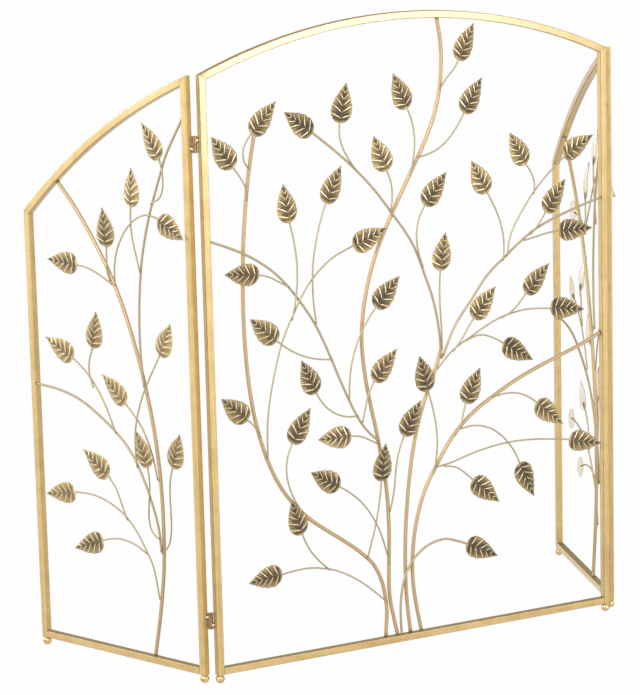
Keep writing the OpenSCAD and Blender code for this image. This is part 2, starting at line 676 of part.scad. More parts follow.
left_side() wing_place() wing_outer_branch_rod();  // left_wing_outer_branch
left_side() wing_place() wing_low_vine_rod();  // left_wing_low_vine
left_side() wing_place() wing_twig_rods();  // left_wing_twigs
left_side() wing_place() wing_upper_leaves();  // left_wing_upper_leaves
left_side() wing_place() wing_lower_leaves();  // left_wing_lower_leaves
wing_place() wing_hinge_post();  // right_wing_hinge_post
wing_place() wing_outer_post();  // right_wing_outer_post
wing_place() wing_arched_rail();  // right_wing_arched_rail
wing_place() wing_bottom_rail();  // right_wing_bottom_rail
wing_place() wing_feet();  // right_wing_feet
wing_place() wing_stem_rod();  // right_wing_stem
wing_place() wing_inner_branch_rod();  // right_wing_inner_branch
wing_place() wing_outer_branch_rod();  // right_wing_outer_branch
wing_place() wing_low_vine_rod();  // right_wing_low_vine
wing_place() wing_twig_rods();  // right_wing_twigs
wing_place() wing_upper_leaves();  // right_wing_upper_leaves
wing_place() wing_lower_leaves();  // right_wing_lower_leaves
left_side() hinge_place() centre_knuckles();  // left_hinge_centre_knuckles
left_side() wing_hinge_place() wing_knuckles();  // left_hinge_wing_knuckles
left_side() hinge_place() pins();  // left_hinge_pins
hinge_place() centre_knuckles();  // right_hinge_centre_knuckles
wing_hinge_place() wing_knuckles();  // right_hinge_wing_knuckles
hinge_place() pins();  // right_hinge_pins
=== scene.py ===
"""Folding fireplace screen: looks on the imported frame.

Three hinged panels of square tube in satin gold, filled with bent rod vines and pressed
leaves. Metres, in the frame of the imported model: +Z is up and the front faces -Y.
"""

import json
import math
import random

import bmesh
import bpy
from mathutils import Matrix, Vector
from mathutils.bvhtree import BVHTree


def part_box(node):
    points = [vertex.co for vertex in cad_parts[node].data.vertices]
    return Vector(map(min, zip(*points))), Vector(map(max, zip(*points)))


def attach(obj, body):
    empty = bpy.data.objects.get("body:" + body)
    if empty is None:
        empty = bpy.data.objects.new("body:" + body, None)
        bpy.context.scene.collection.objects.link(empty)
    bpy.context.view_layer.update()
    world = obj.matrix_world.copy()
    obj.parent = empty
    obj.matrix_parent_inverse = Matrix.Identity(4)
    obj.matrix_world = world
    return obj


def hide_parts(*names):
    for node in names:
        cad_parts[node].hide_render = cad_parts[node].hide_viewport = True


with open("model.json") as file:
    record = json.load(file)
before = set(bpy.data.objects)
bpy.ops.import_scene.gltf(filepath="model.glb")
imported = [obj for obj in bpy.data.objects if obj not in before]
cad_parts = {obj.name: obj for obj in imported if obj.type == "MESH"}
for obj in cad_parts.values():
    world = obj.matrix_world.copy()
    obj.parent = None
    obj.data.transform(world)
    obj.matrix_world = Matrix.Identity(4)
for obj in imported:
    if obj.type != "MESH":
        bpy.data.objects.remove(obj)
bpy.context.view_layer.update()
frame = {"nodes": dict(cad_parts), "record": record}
nodes = frame["nodes"]
bodies = frame["record"]["behaviour"]["bodies"]
body_of_node = {name: body for body, names in bodies.items() for name in names}

UP = Vector((0, 0, 1))
SAME_PLACE = 1e-6  # vertices nearer than this are one


def put_in_scene(thing):
    bpy.context.scene.collection.objects.link(thing)


# ---------------------------------------------------------------- camera


# Fitted to the corners of the three frames in the photo.
PHOTO_SIZE = (640, 695)
FOCAL_PIXELS = 2735.73
CAMERA_PLACE = (-1.8076, -3.17356, 1.0555)
CAMERA_RIGHT = (0.87402, -0.48524, -0.02503)
CAMERA_BACK = (-0.47349, -0.86215, 0.18030)


def set_up_camera():
    """Long lens a little above the screen, left of the middle, looking down slightly."""
    data = bpy.data.cameras.new("camera")
    camera = bpy.data.objects.new("camera", data)
    put_in_scene(camera)
    data.sensor_width = 36.0
    data.lens = FOCAL_PIXELS * data.sensor_width / max(PHOTO_SIZE)
    data.clip_start, data.clip_end = 0.1, 50.0
    right = Vector(CAMERA_RIGHT).normalized()
    back = Vector(CAMERA_BACK).normalized()
    up = back.cross(right)
    turn = Matrix((right, up, back)).transposed().to_4x4()
    camera.matrix_world = Matrix.Translation(CAMERA_PLACE) @ turn
    bpy.context.scene.camera = camera


set_up_camera()


# ---------------------------------------------------------------- shader helpers


def link(tree, source, target):
    tree.links.new(source, target)


def node_of(tree, kind, **values):
    made = tree.nodes.new(kind)
    for name, value in values.items():
        setattr(made, name, value)
    return made


def set_inputs(made, **values):
    for name, value in values.items():
        made.inputs[name].default_value = value


def maths(tree, operation, a, b=None, clamp=False):
    made = node_of(tree, "ShaderNodeMath", operation=operation, use_clamp=clamp)
    for socket, value in zip(made.inputs, (a, b)):
        if value is None:
            continue
        if isinstance(value, (int, float)):
            socket.default_value = value
        else:
            link(tree, value, socket)
    return made.outputs[0]


def noise(tree, vector, scale, detail, roughness):
    made = node_of(tree, "ShaderNodeTexNoise")
    set_inputs(made, Scale=scale, Detail=detail, Roughness=roughness)
    link(tree, vector, made.inputs["Vector"])
    return made.outputs["Fac"]


def ramp(tree, value, low, high, out_low=0.0, out_high=1.0):
    """Smooth step of a value from low..high to out_low..out_high."""
    made = node_of(tree, "ShaderNodeMapRange", interpolation_type="SMOOTHSTEP")
    made.inputs["From Min"].default_value = low
    made.inputs["From Max"].default_value = high
    made.inputs["To Min"].default_value = out_low
    made.inputs["To Max"].default_value = out_high
    link(tree, value, made.inputs["Value"])
    return made.outputs["Result"]


def mix_colour(tree, factor, a, b):
    """Mix of two colours; 0, 6 and 7 are the mix node's factor and colour sockets."""
    made = node_of(tree, "ShaderNodeMix", data_type="RGBA", blend_type="MIX")
    for socket, value in ((made.inputs[0], factor), (made.inputs[6], a), (made.inputs[7], b)):
        if isinstance(value, (int, float)):
            socket.default_value = value
        elif isinstance(value, tuple):
            socket.default_value = (*value, 1.0)
        else:
            link(tree, value, socket)
    return made.outputs[2]


def blend_of(tree, a, share_a, b, share_b):
    """Sum of two values, each times its share."""
    first = maths(tree, "MULTIPLY", a, share_a)
    return maths(tree, "ADD", first, maths(tree, "MULTIPLY", b, share_b))


def swayed(tree, level, value, share):
    """A level raised and lowered by share as a value goes from 0 to 1."""
    sway = maths(tree, "MULTIPLY", maths(tree, "SUBTRACT", value, 0.5), share)
    return maths(tree, "ADD", level, sway)


def bump_of(tree, height, strength, distance, shader):
    """Fine bump on a shader's normal."""
    lift = node_of(tree, "ShaderNodeBump")
    lift.inputs["Strength"].default_value = strength
    lift.inputs["Distance"].default_value = distance
    link(tree, height, lift.inputs["Height"])
    link(tree, lift.outputs["Normal"], shader.inputs["Normal"])


def group_tree(name, inputs, outputs):
    """Node group and its two ends; inputs are (name, kind, value), outputs (name, kind)."""
    tree = bpy.data.node_groups.new(name, "ShaderNodeTree")
    for label, kind, value in inputs:
        socket = tree.interface.new_socket(label, in_out="INPUT", socket_type=kind)
        if value is not None:
            socket.default_value = value
    for label, kind in outputs:
        tree.interface.new_socket(label, in_out="OUTPUT", socket_type=kind)
    return tree, tree.nodes.new("NodeGroupInput"), tree.nodes.new("NodeGroupOutput")


FLOAT, VECTOR = "NodeSocketFloat", "NodeSocketVector"


def make_streaks_group():
    """Fine lengthwise streaks of brushed-on gold paint, with cloudy tone changes."""
    tree, ins, outs = group_tree(
        "gold streaks",
        [("Lay", VECTOR, None), ("Fineness", FLOAT, 900.0), ("Stretch", FLOAT, 40.0)],
        [("Streaks", FLOAT), ("Clouds", FLOAT), ("Height", FLOAT)],
    )
    lay = node_of(tree, "ShaderNodeSeparateXYZ")
    link(tree, ins.outputs["Lay"], lay.inputs[0])
    along = maths(tree, "DIVIDE", lay.outputs["Y"], ins.outputs["Stretch"])
    drawn = node_of(tree, "ShaderNodeCombineXYZ")
    link(tree, lay.outputs["X"], drawn.inputs["X"])
    link(tree, along, drawn.inputs["Y"])
    link(tree, lay.outputs["Z"], drawn.inputs["Z"])
    fine = node_of(tree, "ShaderNodeTexNoise")
    set_inputs(fine, Detail=4.0, Roughness=0.6)
    link(tree, ins.outputs["Fineness"], fine.inputs["Scale"])
    link(tree, drawn.outputs[0], fine.inputs["Vector"])
    link(tree, fine.outputs["Fac"], outs.inputs["Streaks"])
    clouds = noise(tree, ins.outputs["Lay"], 45.0, 3.0, 0.55)
    link(tree, clouds, outs.inputs["Clouds"])
    grain = noise(tree, ins.outputs["Lay"], 2600.0, 2.0, 0.5)
    height = blend_of(tree, fine.outputs["Fac"], 0.6, grain, 0.4)
    link(tree, height, outs.inputs["Height"])
    return tree


streaks_group = make_streaks_group()


def start_material(name):
    """(material, its node tree, its shader), wired to the output."""
    made = bpy.data.materials.new(name)
    made.use_nodes = True
    tree = made.node_tree
    tree.nodes.clear()
    out = tree.nodes.new("ShaderNodeOutputMaterial")
    shader = tree.nodes.new("ShaderNodeBsdfPrincipled")
    link(tree, shader.outputs[0], out.inputs["Surface"])
    return made, tree, shader


def lay_of(tree):
    """The piece's own lay: across and along the bar, in metres."""
    made = node_of(tree, "ShaderNodeUVMap", uv_map="lay")
    return made.outputs["UV"]


def gold_paint(
    name, light, deep, worn, metal, rough, fineness, stretch, bump, lacquer=0.0, rim=0.6
):
    """Satin gold paint over steel: streaked lengthwise, browner where it is thin.

    fineness is the streaks' scale and stretch their length; lacquer is the clear coat's
    weight, and rim the strength of the sheen seen at a slant.
    """
    made, tree, shader = start_material(name)
    streaks = node_of(tree, "ShaderNodeGroup", node_tree=streaks_group)
    streaks.inputs["Fineness"].default_value = fineness
    streaks.inputs["Stretch"].default_value = stretch
    link(tree, lay_of(tree), streaks.inputs["Lay"])
    tone = blend_of(tree, streaks.outputs["Streaks"], 0.55, streaks.outputs["Clouds"], 0.45)
    colour = mix_colour(tree, ramp(tree, tone, 0.36, 0.62), deep, light)
    thin = ramp(tree, streaks.outputs["Clouds"], 0.62, 0.78)
    colour = mix_colour(tree, maths(tree, "MULTIPLY", thin, 0.5), colour, worn)
    link(tree, colour, shader.inputs["Base Color"])
    shader.inputs["Metallic"].default_value = metal
    dull = ramp(tree, streaks.outputs["Streaks"], 0.3, 0.7, rough - 0.02, rough + 0.04)
    link(tree, dull, shader.inputs["Roughness"])
    shader.inputs["Coat Weight"].default_value = lacquer
    shader.inputs["Coat Roughness"].default_value = 0.20
    shader.inputs["Coat IOR"].default_value = 1.6
    shader.inputs["Specular Tint"].default_value = (rim, rim * 0.85, rim * 0.6, 1)
    bump_of(tree, streaks.outputs["Height"], bump, 0.0002, shader)
    return made


def antique_leaf(name, ridge, field, patina, metal, rough):
    """Antiqued gold leaf: pale veins and rims, a dark patina left in the hollows.

    patina holds two colours: of faces that look down, and a darker, greyer one of faces that look
    up, which is painted shade.
    """
    made, tree, shader = start_material(name)
    relief = node_of(tree, "ShaderNodeAttribute", attribute_name="relief").outputs["Fac"]
    tone = node_of(tree, "ShaderNodeAttribute", attribute_name="tone").outputs["Fac"]
    coords = node_of(tree, "ShaderNodeTexCoord")
    place = coords.outputs["Object"]
    facing = node_of(tree, "ShaderNodeSeparateXYZ")
    link(tree, coords.outputs["Normal"], facing.inputs[0])
    cloud = noise(tree, place, 170.0, 4.0, 0.6)
    fleck = noise(tree, place, 1100.0, 3.0, 0.65)
    level = swayed(tree, relief, cloud, 0.60)
    level = swayed(tree, level, fleck, 0.14)
    # tone differs at random from leaf to leaf, and is raised on the wings' leaves as painted
    # light.
    level = swayed(tree, level, tone, 0.20)
    # Painted shade: faces that look up get more of the patina, in its darker colour.
    shade_on_top = ramp(tree, facing.outputs["Z"], -0.35, 0.35)
    level = maths(tree, "SUBTRACT", level, maths(tree, "MULTIPLY", shade_on_top, 0.14))
    dark = mix_colour(tree, shade_on_top, patina[0], patina[1])
    colour = mix_colour(tree, ramp(tree, level, 0.02, 0.52), dark, field)
    colour = mix_colour(tree, ramp(tree, level, 0.50, 0.90), colour, ridge)
    link(tree, colour, shader.inputs["Base Color"])
    link(tree, ramp(tree, level, 0.1, 0.8, metal * 0.5, metal), shader.inputs["Metallic"])
    link(tree, ramp(tree, level, 0.1, 0.9, rough + 0.14, rough), shader.inputs["Roughness"])
    shader.inputs["Coat Weight"].default_value = 0.2
    shader.inputs["Coat Roughness"].default_value = 0.25
    bump_of(tree, fleck, 0.12, 0.0003, shader)
    return made


frame_paint = gold_paint(
    "satin gold frame paint",
    light=(0.72, 0.51, 0.20), deep=(0.58, 0.39, 0.13), worn=(0.45, 0.29, 0.10),
    metal=0.34, rough=0.44, fineness=260.0, stretch=40.0, bump=0.02, lacquer=1.0, rim=0.45,
)
# Painted shade: dark brown on the tubes' corners and the rails' tops, where the faces turn from
# the light.
edge_shade_paint = gold_paint(
    "painted shade along the edges and tops",
    light=(0.40, 0.29, 0.13), deep=(0.31, 0.215, 0.09), worn=(0.22, 0.15, 0.06),
    metal=0.35, rough=0.50, fineness=900.0, stretch=30.0, bump=0.06, rim=0.4,
)
stem_paint = gold_paint(
    "gold stem paint",
    light=(0.60, 0.44, 0.24), deep=(0.51, 0.36, 0.185), worn=(0.38, 0.26, 0.12),
    metal=0.50, rough=0.48, fineness=1100.0, stretch=60.0, bump=0.02, lacquer=0.15, rim=0.25,
)
twig_paint = gold_paint(
    "gold twig paint",
    light=(0.53, 0.44, 0.27), deep=(0.45, 0.365, 0.215), worn=(0.32, 0.255, 0.14),
    metal=0.50, rough=0.50, fineness=1500.0, stretch=60.0, bump=0.02, rim=0.3,
)
weld_brown = gold_paint(
    "browned weld bead",
    light=(0.22, 0.13, 0.05), deep=(0.13, 0.075, 0.03), worn=(0.07, 0.04, 0.018),
    metal=0.45, rough=0.45, fineness=1500.0, stretch=1.0, bump=0.4, rim=0.25,
)
joint_gold = gold_paint(
    "painted joint",
    light=(0.60, 0.41, 0.17), deep=(0.42, 0.27, 0.10), worn=(0.26, 0.16, 0.06),
    metal=0.60, rough=0.36, fineness=1500.0, stretch=1.0, bump=0.4,
)
# Pale paint of the hinge's weld nugget: a painted highlight.
nugget_highlight_gold = gold_paint(
    "weld nugget with painted highlight",
    light=(0.92, 0.80, 0.56), deep=(0.78, 0.62, 0.38), worn=(0.50, 0.34, 0.16),
    metal=0.60, rough=0.25, fineness=900.0, stretch=1.0, bump=0.3,
)
hinge_gold = gold_paint(
    "browned hinge barrel",
    light=(0.46, 0.31, 0.15), deep=(0.18, 0.11, 0.05), worn=(0.08, 0.05, 0.02),
    metal=0.60, rough=0.34, fineness=700.0, stretch=9.0, bump=0.3,
)
foot_gold = gold_paint(
    "rubbed gold feet",
    light=(0.84, 0.66, 0.36), deep=(0.50, 0.34, 0.14), worn=(0.20, 0.13, 0.05),
    metal=0.70, rough=0.26, fineness=700.0, stretch=2.0, bump=0.25,
)
# The second patina colour, for faces that look up, is painted shade.
leaf_gold = antique_leaf(
    "antiqued gold leaf",
    ridge=(0.80, 0.67, 0.43), field=(0.42, 0.30, 0.13),
    patina=((0.062, 0.040, 0.015), (0.043, 0.035, 0.020)), metal=0.85, rough=0.36,
)
leaf_back = gold_paint(
    "pale gold leaf back",
    light=(0.95, 0.90, 0.78), deep=(0.88, 0.80, 0.64), worn=(0.76, 0.64, 0.44),
    metal=0.30, rough=0.30, fineness=500.0, stretch=4.0, bump=0.1, lacquer=0.5, rim=0.9,
)


# ---------------------------------------------------------------- panels


def middle_of(node):
    low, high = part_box(node)
    return (low + high) / 2


def panel_axes(body):
    """(along, back) of a panel in plan: along runs away from the hinge or to the right."""
    if body == "centre_panel":
        return Vector((1, 0, 0)), Vector((0, 1, 0))
    run = middle_of(f"{body}_outer_post") - middle_of(f"{body}_hinge_post")
    run.z = 0
    run.normalize()
    back = UP.cross(run) if run.x > 0 else run.cross(UP)
    return run, back


axes = {body: panel_axes(body) for body in bodies}


# ---------------------------------------------------------------- pieces


def copy_of(node):
    """The CAD node's mesh as one joined skin in a new bmesh."""
    bm = bmesh.new()
    bm.from_mesh(nodes[node].data)
    bmesh.ops.remove_doubles(bm, verts=bm.verts, dist=SAME_PLACE)
    return bm


def finish_piece(bm, name, node, materials):
    """Links a bmesh as the piece that stands for a CAD node."""
    mesh = bpy.data.meshes.new(name)
    bm.to_mesh(mesh)
    bm.free()
    piece = bpy.data.objects.new(name, mesh)
    put_in_scene(piece)
    for material in materials:
        mesh.materials.append(material)
    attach(piece, body_of_node[node])
    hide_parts(node)
    return piece


def arch_middle(bm, along):
    """Centre, in the panel's own (along, up) plane, of the circle that a rail is bent to."""
    low = min(v.co.dot(along) for v in bm.verts)
    high = max(v.co.dot(along) for v in bm.verts)
    marks = []
    for share in (0.1, 0.5, 0.9):
        x = low + (high - low) * share
        near = min(bm.verts, key=lambda v: (round(abs(v.co.dot(along) - x), 3), -v.co.z))
        marks.append((near.co.dot(along), near.co.z))
    (ax, az), (bx, bz), (cx, cz) = marks
    d = 2 * (ax * (bz - cz) + bx * (cz - az) + cx * (az - bz))
    a2, b2, c2 = ax * ax + az * az, bx * bx + bz * bz, cx * cx + cz * cz
    return (
        (a2 * (bz - cz) + b2 * (cz - az) + c2 * (az - bz)) / d,
        (a2 * (cx - bx) + b2 * (ax - cx) + c2 * (bx - ax)) / d,
    )


EDGE_FROM, EDGE_TO = 0.10, 0.95  # a face's slant to the front, on a tube's rounded corner, which gets painted shade
TOP_FROM = 0.3  # how far up a face looks, for the painted shade on a rail's top
SIDE_SHIFT = 1.7  # sets the streaks of a bar's sides apart from those of its front
TUBE_CREASE = 40  # degrees


def dress_tube(node):
    """Square tube with painted shade on its corners and tops; its lay runs along the bar."""
    bm = copy_of(node)
    along, back = axes[body_of_node[node]]
    kind = "post" if "post" in node else "arch" if "arched" in node else "rail"
    # Among the posts, only the centre panel's get the painted shade on their corners.
    shaded_edges = kind != "post" or node.startswith("centre")
    lay = bm.loops.layers.uv.new("lay")
    cx, cz = arch_middle(bm, along) if kind == "arch" else (0.0, 0.0)
    bm.normal_update()
    for face in bm.faces:
        face.smooth = True
        # Corners and tops take the second slot, the painted shade.
        corner = shaded_edges and EDGE_FROM < abs(face.normal.dot(back)) < EDGE_TO
        top = kind != "post" and face.normal.z > TOP_FROM
        face.material_index = int(corner or top)
        for loop in face.loops:
            co = loop.vert.co
            x, y, z = co.dot(along), co.dot(back), co.z
            if kind == "post":
                run, side = z, x
            elif kind == "rail":
                run, side = x, z
            else:
                reach = math.hypot(x - cx, z - cz)
                run, side = reach * math.atan2(x - cx, z - cz), reach
            loop[lay].uv = (side + y * SIDE_SHIFT, run)
    piece = finish_piece(bm, f"{node}_tube", node, [frame_paint, edge_shade_paint])
    piece.data.set_sharp_from_angle(angle=math.radians(TUBE_CREASE))
    even = piece.modifiers.new("even shading", "WEIGHTED_NORMAL")
    even.keep_sharp = True


def islands(bm):
    """Lists of the vertices of each separate solid, always in the mesh's own order."""
    seen, found = set(), []
    for start in bm.verts:
        if start in seen:
            continue
        seen.add(start)
        group, edge = [start], [start]
        while edge:
            vert = edge.pop()
            for e in vert.link_edges:
                other = e.other_vert(vert)
                if other not in seen:
                    seen.add(other)
                    group.append(other)
                    edge.append(other)
        found.append(group)
    return found


# ---------------------------------------------------------------- rods


STEM_D = 0.0050
BRANCH_D = 0.0032
TWIG_D = 0.0022
RING_REACH = 1.4  # of the diameter: vertices of one ring lie nearer than this
BEND_STEPS = 8  # between two points of a rod's course


def centre_of(points):
    return sum(points, Vector()) / len(points)


def rings_of(solid, reach):
    """The vertices of a rod in rings: those that lie within reach of one another."""
    left, rings = list(solid), []
    while left:
        start = left.pop(0)
        ring, spread = [start], [start]
        while spread:
            vert = spread.pop()
            near = [other for other in left if (other.co - vert.co).length < reach]
            left = [other for other in left if other not in near]
            ring += near
            spread += near
        rings.append(ring)
    return rings


def course_of(solid, diameter):
    """Points along a rod's axis, from its rings, and the outward normals of its two ends."""
    ends, between = [], []
    for ring in rings_of(solid, RING_REACH * diameter):
        touching = dict.fromkeys(face for vert in ring for face in vert.link_faces)
        faces = [face for face in touching if all(vert in ring for vert in face.verts)]
        middle = centre_of([vert.co for vert in ring])
        if faces:
            outward = sum((face.normal * face.calc_area() for face in faces), Vector())
            ends.append((middle, outward.normalized()))
        else:
            between.append(middle)
    (first, first_normal), (last, last_normal) = ends
    points = [first]
    while between:
        near = min(between, key=lambda middle: (middle - points[-1]).length)
        between.remove(near)
        points.append(near)
    return points + [last], [first_normal, last_normal]


def round_rod(points, diameter, name):
    """Mesh of a round rod bent along the points, with its lay across and along in metres."""
    curve = bpy.data.curves.new(name, "CURVE")
    curve.dimensions = "3D"
    curve.bevel_depth = diameter / 2
    curve.bevel_resolution = 3 if diameter == TWIG_D else 4
    curve.resolution_u = BEND_STEPS
    curve.use_fill_caps = True
    curve.twist_mode = "MINIMUM"
    spline = curve.splines.new("BEZIER")
    spline.bezier_points.add(len(points) - 1)
    for point, co in zip(spline.bezier_points, points):
        point.co = co
        point.handle_left_type = point.handle_right_type = "AUTO"
    holder = bpy.data.objects.new(name, curve)
    put_in_scene(holder)
    bpy.context.view_layer.update()
    shown = holder.evaluated_get(bpy.context.evaluated_depsgraph_get())
    made = bpy.data.meshes.new_from_object(shown)
    length = sum((b - a).length for a, b in zip(points, points[1:]))
    bpy.data.objects.remove(holder)
    bpy.data.curves.remove(curve)
    bm = bmesh.new()
    bm.from_mesh(made)
    bpy.data.meshes.remove(made)
    bmesh.ops.remove_doubles(bm, verts=bm.verts, dist=SAME_PLACE)
    lay = bm.loops.layers.uv[0]
    girth = math.pi * diameter
    for face in bm.faces:
        face.smooth = len(face.verts) == 4
        for loop in face.loops:
            loop[lay].uv = (loop[lay].uv.x * girth, loop[lay].uv.y * length)
    return bm


frame_nodes = [n for n in nodes if n.endswith(("_post", "_rail"))]
rod_nodes = [n for n in nodes if n.endswith(("_stem", "_branch", "_vine"))]
leaf_nodes = [n for n in nodes if n.endswith("_leaves")]
surfaces = {}


def surface_of(node):
    """Tree for finding the nearest point of a CAD node."""
    if node not in surfaces:
        bm = copy_of(node)
        surfaces[node] = BVHTree.FromBMesh(bm)
        bm.free()
    return surfaces[node]


def nearest(point, names, reach):
    """(place, normal, distance) nearest to a point on the named nodes, or None."""
    best = None
    for name in names:
        place, normal, _, distance = surface_of(name).find_nearest(point, reach)
        if place is not None and (best is None or distance < best[2]):
            best = (place, normal, distance)
    return best


DEPTH_SHARES = (0.7, 0.3)  # of a place's depth, so that faces to the side aren't smeared


def lay_plain(face, lay):
    """Lay of a small part straight from its place."""
    for loop in face.loops:
        co = loop.vert.co
        loop[lay].uv = (co.x + DEPTH_SHARES[0] * co.y, co.z + DEPTH_SHARES[1] * co.y)


# Lumps of a bead: how high, how close together and along which of its axes.
LUMPS = ((0.10, 3, 0), (0.08, 5, 1), (0.06, 6, 2))
LAST_PHASE = 6.28
PARALLEL = 1e-4  # two directions whose cross product is shorter are parallel


def add_bead(bm, place, normal, run, radius, long, high, paint, seed):
    """Weld bead: a low lumpy mound on a surface, longer along run; paint is its slot."""
    side = normal.cross(run)
    if side.length < PARALLEL:
        side = normal.orthogonal()
    side.normalize()
    run = side.cross(normal)
    turn = Matrix((run * long, side * radius, normal * high)).transposed().to_4x4()
    made = bmesh.ops.create_icosphere(bm, subdivisions=3, radius=1.0)
    lumps = random.Random(seed)
    phases = [lumps.uniform(0, LAST_PHASE) for _ in LUMPS]
    for vert in made["verts"]:
        swell = 1
        for (size, waves, axis), phase in zip(LUMPS, phases):
            swell += size * math.sin(waves * vert.co[axis] + phase)
        vert.co *= swell
    bmesh.ops.transform(bm, matrix=Matrix.Translation(place) @ turn, verts=made["verts"])
    lay = bm.loops.layers.uv[0]
    for face in {f for v in made["verts"] for f in v.link_faces}:
        face.smooth = True
        face.material_index = paint
        lay_plain(face, lay)


def rod_size(node):
    return STEM_D if node.endswith("_stem") else BRANCH_D if node.endswith("_branch") else TWIG_D


FRAME_REACH = 0.0006  # from a rod's end to the tube that holds it
ROD_REACH = 0.0007  # from a rod's side to the rod that holds it
LEAF_REACH = 0.0025  # from a rod to the leaf that it carries
LEAF_STEP = 0.004  # back from a rod's end to where its leaf is looked for
SINK = 0.0003  # how far a rod's end goes into the tube
LEAST_SLANT = 0.2  # bound for a rod that meets a tube nearly flat
WELD, JOINT = 1, 2  # paint slots of a rod piece, after the rod's own paint
# Beads as shares of the rod's diameter: half width, half length and height.
FRAME_BEAD = (0.62, 0.62, 0.16)
ROD_BEAD = (0.50, 0.85, 0.42)
FREE_BEAD = (0.45, 0.80, 0.40)
SEAT_BEAD = (0.50, 0.42)  # half width and height of the weld behind a leaf
SEAT_LONG = 0.0072
SEAT_STEP = 0.005  # back from the rod's end
SEAT_BACK = 0.30  # of the diameter, behind the rod's axis


def is_thin(diameter):
    """Whether a rod is a branch, vine or twig and not a stem."""
    return diameter < STEM_D


def end_of_rod(node, end, run, normal, diameter):
    """(where a rod's end goes, its weld bead or None) for an end that runs along run."""
    hold = nearest(end, frame_nodes, FRAME_REACH)
    if hold:
        wide, long, high = FRAME_BEAD
        slant = max(LEAST_SLANT, run.dot(normal))
        spare = diameter / 2 * math.sqrt(1 - min(1, slant * slant)) / slant
        bead = (end, hold[1], run, diameter * wide, diameter * long / slant, diameter * high, WELD)
        return end + run * (spare + SINK), bead
    others = [other for other in rod_nodes if other != node]
    hold = nearest(end, others, diameter / 2 + ROD_REACH)
    if hold:
        wide, long, high = ROD_BEAD
        lift = (end - hold[0]).normalized()
        place = (hold[0] + end - lift * diameter / 2) / 2
        return end, (place, lift, run, diameter * wide, diameter * long, diameter * high, JOINT)
    behind = axes[body_of_node[node]][1]
    if not nearest(end - run * LEAF_STEP, leaf_nodes, LEAF_REACH):
        wide, long, high = FREE_BEAD
        return end, (end, behind, run, diameter * wide, diameter * long, diameter * high, JOINT)
    if not is_thin(diameter):
        return end, None
    wide, high = SEAT_BEAD
    seat = end - run * SEAT_STEP + behind * diameter * SEAT_BACK
    return end, (seat, behind, run, diameter * wide, SEAT_LONG, diameter * high, WELD)


def dress_rods(node):
    """Round bent rods in place of a node's rods, with a weld bead at each joint."""
    diameter = rod_size(node)
    source = copy_of(node)
    source.normal_update()
    mesh = bpy.data.meshes.new("gathered")
    whole = bmesh.new()
    whole.loops.layers.uv.new("UVMap")
    for count, solid in enumerate(islands(source)):
        points, normals = course_of(solid, diameter)
        beads = []
        for at, towards, normal in ((0, 1, normals[0]), (-1, -2, normals[1])):
            run = (points[at] - points[towards]).normalized()
            points[at], bead = end_of_rod(node, points[at], run, normal, diameter)
            if bead:
                beads.append(bead)
        rod = round_rod(points, diameter, f"{node}_rod")
        rod.to_mesh(mesh)
        rod.free()
        whole.from_mesh(mesh)
        for number, bead in enumerate(beads):
            add_bead(whole, *bead, seed=f"{node} {count} {number}")
    source.free()
    bpy.data.meshes.remove(mesh)
    paint = twig_paint if is_thin(diameter) else stem_paint
    piece = finish_piece(
        whole, f"{node}_rods", node, [paint, weld_brown, joint_gold]
    )
    piece.data.uv_layers[0].name = "lay"


# ---------------------------------------------------------------- leaves


LEAF_LENGTH = 0.051
LEAF_WIDTH = 0.029
LEAF_SHEET = 0.0007
LEAF_CURL = 0.0056  # how far the tip comes forward
LEAF_GRID = (26, 110)  # steps across and along
SAME_LEAF_PLACE = 2e-5  # shuts the grid at the base and the tip
FACE_OUT = 0.00035  # how far the blade stands in front of its base's plane
VEINS = 13  # from base to tip, on each side
VEIN_CLIMB = 0.22  # of the length, from the midrib to the edge
VEIN_SHARPNESS = 9
STREAKS = 4  # to a vein
VEIN_RISE = 0.00055
STREAK_RISE = 0.00012
RIB_RISE = 0.0002
RIB_HALF = 0.0008
HOLLOW = 0.00045  # of the pleats between the veins
EDGE_BACK = 0.0016  # how far the edge bends back
TOOTH, SMALL_TOOTH = 0.00040, 0.00020
# How much of the patina is rubbed off, from 0 to 1.
RUBBED_BASE, RUBBED_TIP, RUBBED_RIM, RUBBED_RIB = 0.75, 0.60, 0.55, 0.30
RUBBED_FIELD, RUBBED_STREAK, RUBBED_SIDE = 0.02, 0.28, 0.40
BASE_SETBACK = 0.0006  # of the leaf's base behind the solid's
LEAN, NOD = 0.10, 0.04  # most turn of a leaf about its length and across it, in radians
DULLEST, BRIGHTEST = 0.2, 0.9
WING_PAINTED_LIGHT = 0.5  # the wings' leaves are painted brighter: painted light, where they catch the key lamp


def leaf_outline(t):
    """Half width at a share t of the length, as a share of the widest place."""
    return 2.70 * math.sqrt(max(t, 0)) * max(1 - t, 0) ** 1.1


